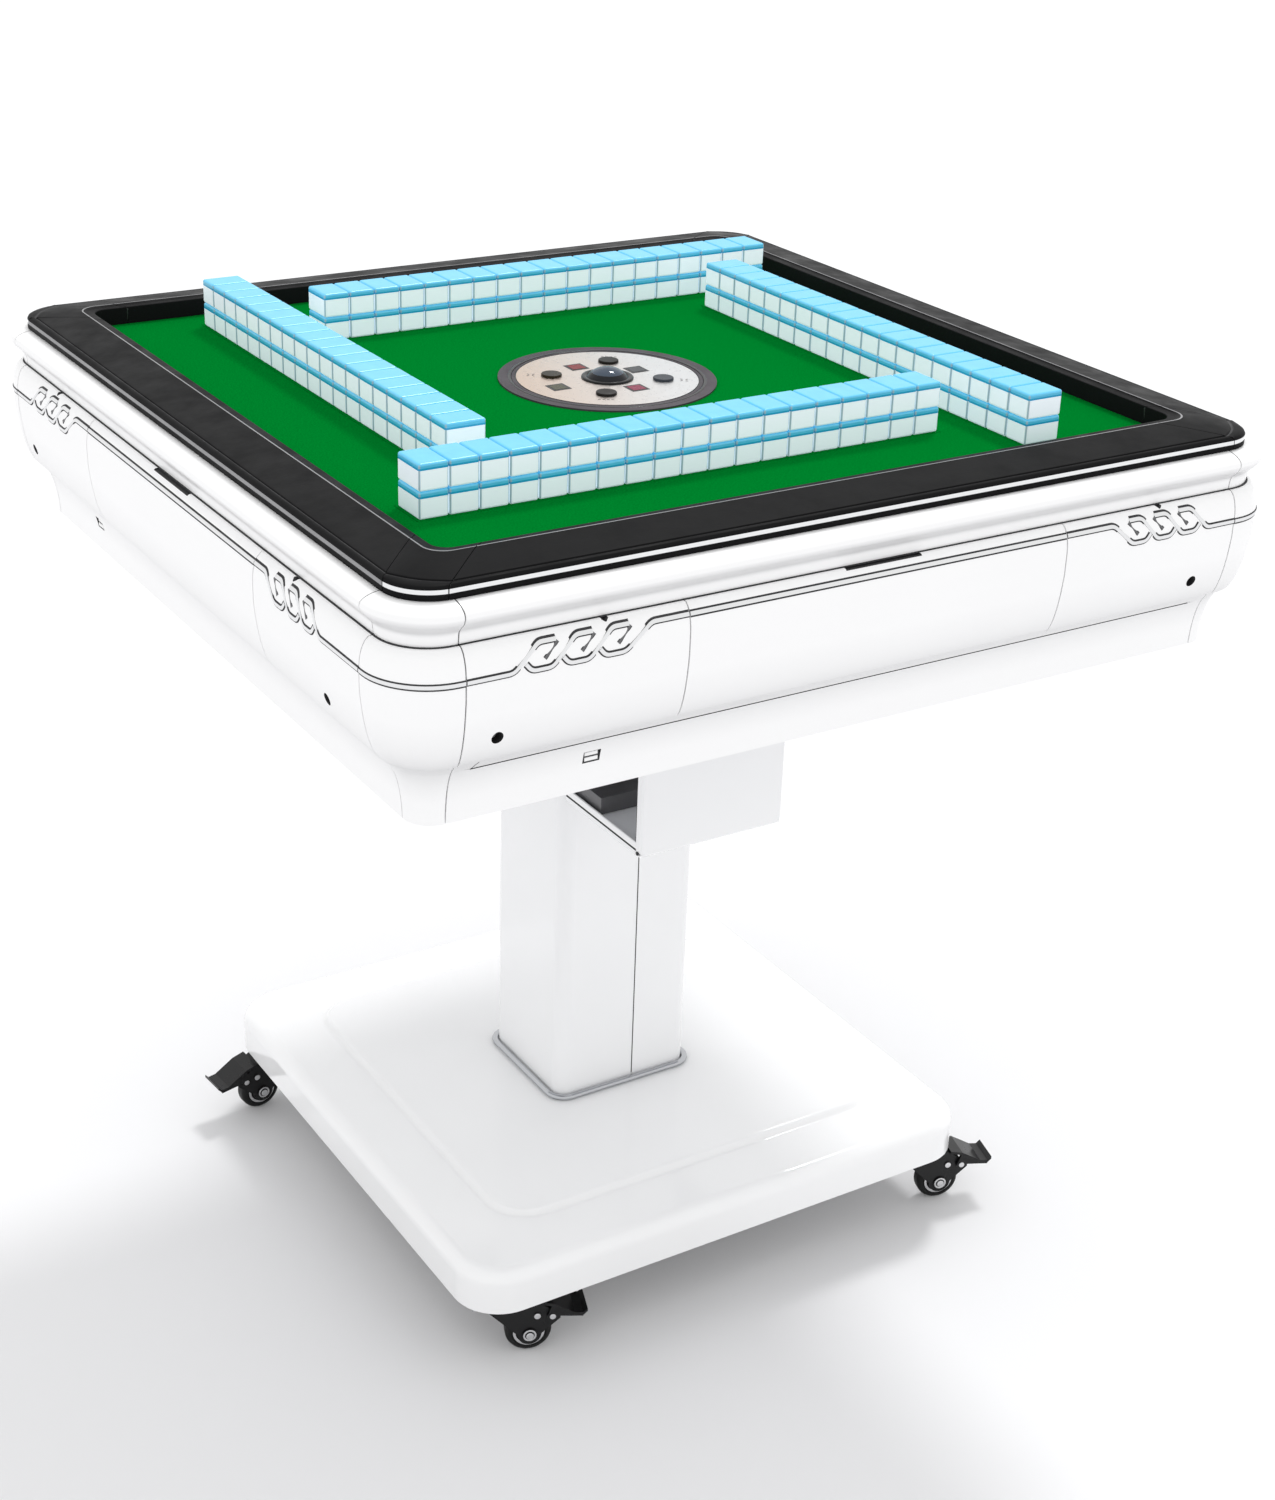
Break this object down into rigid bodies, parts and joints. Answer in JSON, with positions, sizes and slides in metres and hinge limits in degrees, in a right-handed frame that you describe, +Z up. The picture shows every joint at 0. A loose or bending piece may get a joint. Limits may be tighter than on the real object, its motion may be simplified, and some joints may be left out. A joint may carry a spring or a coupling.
{
  "type": "automatic mahjong table",
  "caption": "Square automatic mahjong table on one column: black rail, green felt, raised tile walls, lifting console, drawers, tilting top, braked casters.",
  "frame": {"origin": "on the floor under the middle of the base and of the table top", "axes": "+Z up, -Y towards the side with the lock box, +X to the right of someone who faces that side"},
  "size_m": [0.8624, 0.8624, 0.8848],
  "materials": {
    "white_moulding": "glossy white moulded plastic",
    "white_steel": "glossy white powder coat on sheet steel",
    "painted_frame": "satin light grey paint on steel",
    "bright_steel": "zinc plated steel",
    "trim_silver": "silver plated strip",
    "rail_black": "satin black moulded rail with a fine grain",
    "felt_green": "short green wool felt",
    "board_wood": "plain board",
    "tile_resin": "polished two-colour resin, white with a blue back",
    "lift_plastic": "moulded lift with a felt top",
    "console_plate": "satin champagne plate",
    "console_dark": "dark moulded plastic",
    "dome_glass": "smoked clear dome",
    "die_white": "polished resin",
    "caster_black": "black paint on pressed steel",
    "wheel_rubber": "black rubber tread",
    "inner_black": "black moulded plastic",
    "motor_metal": "cast motor housing"
  },
  "bodies": {
    "base": {"base_cover": "white_moulding", "base_frame": "painted_frame", "column_collar": "bright_steel", "column_post": "painted_frame", "column_shell_left": "white_steel", "column_shell_right": "white_steel", "caster_plates": "bright_steel"},
    "top": {"tilt_bracket": "painted_frame", "tilt_pin": "bright_steel", "lock_box": "white_steel", "chassis_tray": "painted_frame", "power_inlet": "inner_black", "side_shells": "white_moulding", "shell_corners": "white_moulding", "shell_screws": "bright_steel", "usb_sockets": "inner_black", "trim_strips": "trim_silver", "frame_bands": "white_moulding", "frame_corners": "white_moulding", "top_board": "board_wood", "felt": "felt_green", "rails": "rail_black", "rail_corners": "rail_black", "console_ring": "console_dark", "turntable_motor": "motor_metal"},
    "lock_lever": {"lock_lever": "bright_steel"},
    "console": {"console_drum": "console_plate", "console_windows": "console_dark", "console_dome": "dome_glass"},
    "dice_disc": {"dice_tray": "console_dark", "dice": "die_white"},
    "turntable": {"turntable": "inner_black"},
    "drawer_front": {"drawer_front": "white_moulding"},
    "lift_front": {"lift_front": "lift_plastic", "tiles_front": "tile_resin"},
    "drawer_right": {"drawer_right": "white_moulding"},
    "lift_right": {"lift_right": "lift_plastic", "tiles_right": "tile_resin"},
    "drawer_back": {"drawer_back": "white_moulding"},
    "lift_back": {"lift_back": "lift_plastic", "tiles_back": "tile_resin"},
    "drawer_left": {"drawer_left": "white_moulding"},
    "lift_left": {"lift_left": "lift_plastic", "tiles_left": "tile_resin"},
    "button_right": {"button_right": "console_dark"},
    "button_top": {"button_top": "console_dark"},
    "button_left": {"button_left": "console_dark"},
    "button_bottom": {"button_bottom": "console_dark"},
    "caster_fork_front_left": {"caster_fork_front_left": "caster_black"},
    "caster_wheel_front_left": {"caster_wheel_front_left": "wheel_rubber"},
    "caster_pedal_front_left": {"caster_pedal_front_left": "caster_black"},
    "caster_fork_front_right": {"caster_fork_front_right": "caster_black"},
    "caster_wheel_front_right": {"caster_wheel_front_right": "wheel_rubber"},
    "caster_pedal_front_right": {"caster_pedal_front_right": "caster_black"},
    "caster_fork_back_right": {"caster_fork_back_right": "caster_black"},
    "caster_wheel_back_right": {"caster_wheel_back_right": "wheel_rubber"},
    "caster_pedal_back_right": {"caster_pedal_back_right": "caster_black"},
    "caster_fork_back_left": {"caster_fork_back_left": "caster_black"},
    "caster_wheel_back_left": {"caster_wheel_back_left": "wheel_rubber"},
    "caster_pedal_back_left": {"caster_pedal_back_left": "caster_black"}
  },
  "joints": [
    {"name": "top_tilt", "type": "hinge", "parent": "base", "child": "top", "pos_m": [0, 0.054, 0.623], "axis": [-1, 0, 0], "range_deg": [0, 90]},
    {"name": "lock_lever_turn", "type": "hinge", "parent": "top", "child": "lock_lever", "pos_m": [0, -0.101, 0.585], "axis": [-1, 0, 0], "range_deg": [0, 20]},
    {"name": "console_lift", "type": "slide", "parent": "top", "child": "console", "axis": [0, 0, 1], "range_m": [0, 0.055]},
    {"name": "dice_spin", "type": "hinge", "parent": "console", "child": "dice_disc", "pos_m": [0, 0, 0.8406], "axis": [0, 0, 1], "continuous": true},
    {"name": "turntable_spin", "type": "hinge", "parent": "top", "child": "turntable", "pos_m": [0, 0, 0.6793], "axis": [0, 0, 1], "continuous": true},
    {"name": "drawer_front_slide", "type": "slide", "parent": "top", "child": "drawer_front", "axis": [0, -1, 0], "range_m": [0, 0.11]},
    {"name": "lift_front_slide", "type": "slide", "parent": "top", "child": "lift_front", "axis": [0, 0, -1], "range_m": [0, 0.06]},
    {"name": "drawer_right_slide", "type": "slide", "parent": "top", "child": "drawer_right", "axis": [1, 0, 0], "range_m": [0, 0.11]},
    {"name": "lift_right_slide", "type": "slide", "parent": "top", "child": "lift_right", "axis": [0, 0, -1], "range_m": [0, 0.06]},
    {"name": "drawer_back_slide", "type": "slide", "parent": "top", "child": "drawer_back", "axis": [0, 1, 0], "range_m": [0, 0.11]},
    {"name": "lift_back_slide", "type": "slide", "parent": "top", "child": "lift_back", "axis": [0, 0, -1], "range_m": [0, 0.06]},
    {"name": "drawer_left_slide", "type": "slide", "parent": "top", "child": "drawer_left", "axis": [-1, 0, 0], "range_m": [0, 0.11]},
    {"name": "lift_left_slide", "type": "slide", "parent": "top", "child": "lift_left", "axis": [0, 0, -1], "range_m": [0, 0.06]},
    {"name": "button_right_press", "type": "slide", "parent": "console", "child": "button_right", "axis": [0, 0, -1], "range_m": [0, 0.0015], "stiffness_N_per_m": 300, "springref_m": -0.001},
    {"name": "button_top_press", "type": "slide", "parent": "console", "child": "button_top", "axis": [0, 0, -1], "range_m": [0, 0.0015], "stiffness_N_per_m": 300, "springref_m": -0.001},
    {"name": "button_left_press", "type": "slide", "parent": "console", "child": "button_left", "axis": [0, 0, -1], "range_m": [0, 0.0015], "stiffness_N_per_m": 300, "springref_m": -0.001},
    {"name": "button_bottom_press", "type": "slide", "parent": "console", "child": "button_bottom", "axis": [0, 0, -1], "range_m": [0, 0.0015], "stiffness_N_per_m": 300, "springref_m": -0.001},
    {"name": "swivel_front_left", "type": "hinge", "parent": "base", "child": "caster_fork_front_left", "pos_m": [-0.242, -0.242, 0.065], "axis": [0, 0, 1], "continuous": true},
    {"name": "wheel_front_left_roll", "type": "hinge", "parent": "caster_fork_front_left", "child": "caster_wheel_front_left", "pos_m": [-0.21381, -0.25226, 0.022], "axis": [0.342, 0.9397, 0], "continuous": true},
    {"name": "pedal_front_left_press", "type": "hinge", "parent": "caster_fork_front_left", "child": "caster_pedal_front_left", "pos_m": [-0.19408, -0.25944, 0.043], "axis": [0.342, 0.9397, 0], "range_deg": [0, 12]},
    {"name": "swivel_front_right", "type": "hinge", "parent": "base", "child": "caster_fork_front_right", "pos_m": [0.242, -0.242, 0.065], "axis": [0, 0, 1], "continuous": true},
    {"name": "wheel_front_right_roll", "type": "hinge", "parent": "caster_fork_front_right", "child": "caster_wheel_front_right", "pos_m": [0.27084, -0.25027, 0.022], "axis": [0.2756, 0.9613, 0], "continuous": true},
    {"name": "pedal_front_right_press", "type": "hinge", "parent": "caster_fork_front_right", "child": "caster_pedal_front_right", "pos_m": [0.29102, -0.25606, 0.043], "axis": [0.2756, 0.9613, 0], "range_deg": [0, 12]},
    {"name": "swivel_back_right", "type": "hinge", "parent": "base", "child": "caster_fork_back_right", "pos_m": [0.242, 0.242, 0.065], "axis": [0, 0, 1], "continuous": true},
    {"name": "wheel_back_right_roll", "type": "hinge", "parent": "caster_fork_back_right", "child": "caster_wheel_back_right", "pos_m": [0.257, 0.26798, 0.022], "axis": [-0.866, 0.5, 0], "continuous": true},
    {"name": "pedal_back_right_press", "type": "hinge", "parent": "caster_fork_back_right", "child": "caster_pedal_back_right", "pos_m": [0.2675, 0.28617, 0.043], "axis": [-0.866, 0.5, 0], "range_deg": [0, 12]},
    {"name": "swivel_back_left", "type": "hinge", "parent": "base", "child": "caster_fork_back_left", "pos_m": [-0.242, 0.242, 0.065], "axis": [0, 0, 1], "continuous": true},
    {"name": "wheel_back_left_roll", "type": "hinge", "parent": "caster_fork_back_left", "child": "caster_wheel_back_left", "pos_m": [-0.27189, 0.23938, 0.022], "axis": [0.0872, -0.9962, 0], "continuous": true},
    {"name": "pedal_back_left_press", "type": "hinge", "parent": "caster_fork_back_left", "child": "caster_pedal_back_left", "pos_m": [-0.29281, 0.23755, 0.043], "axis": [0.0872, -0.9962, 0], "range_deg": [0, 12]}
  ]
}
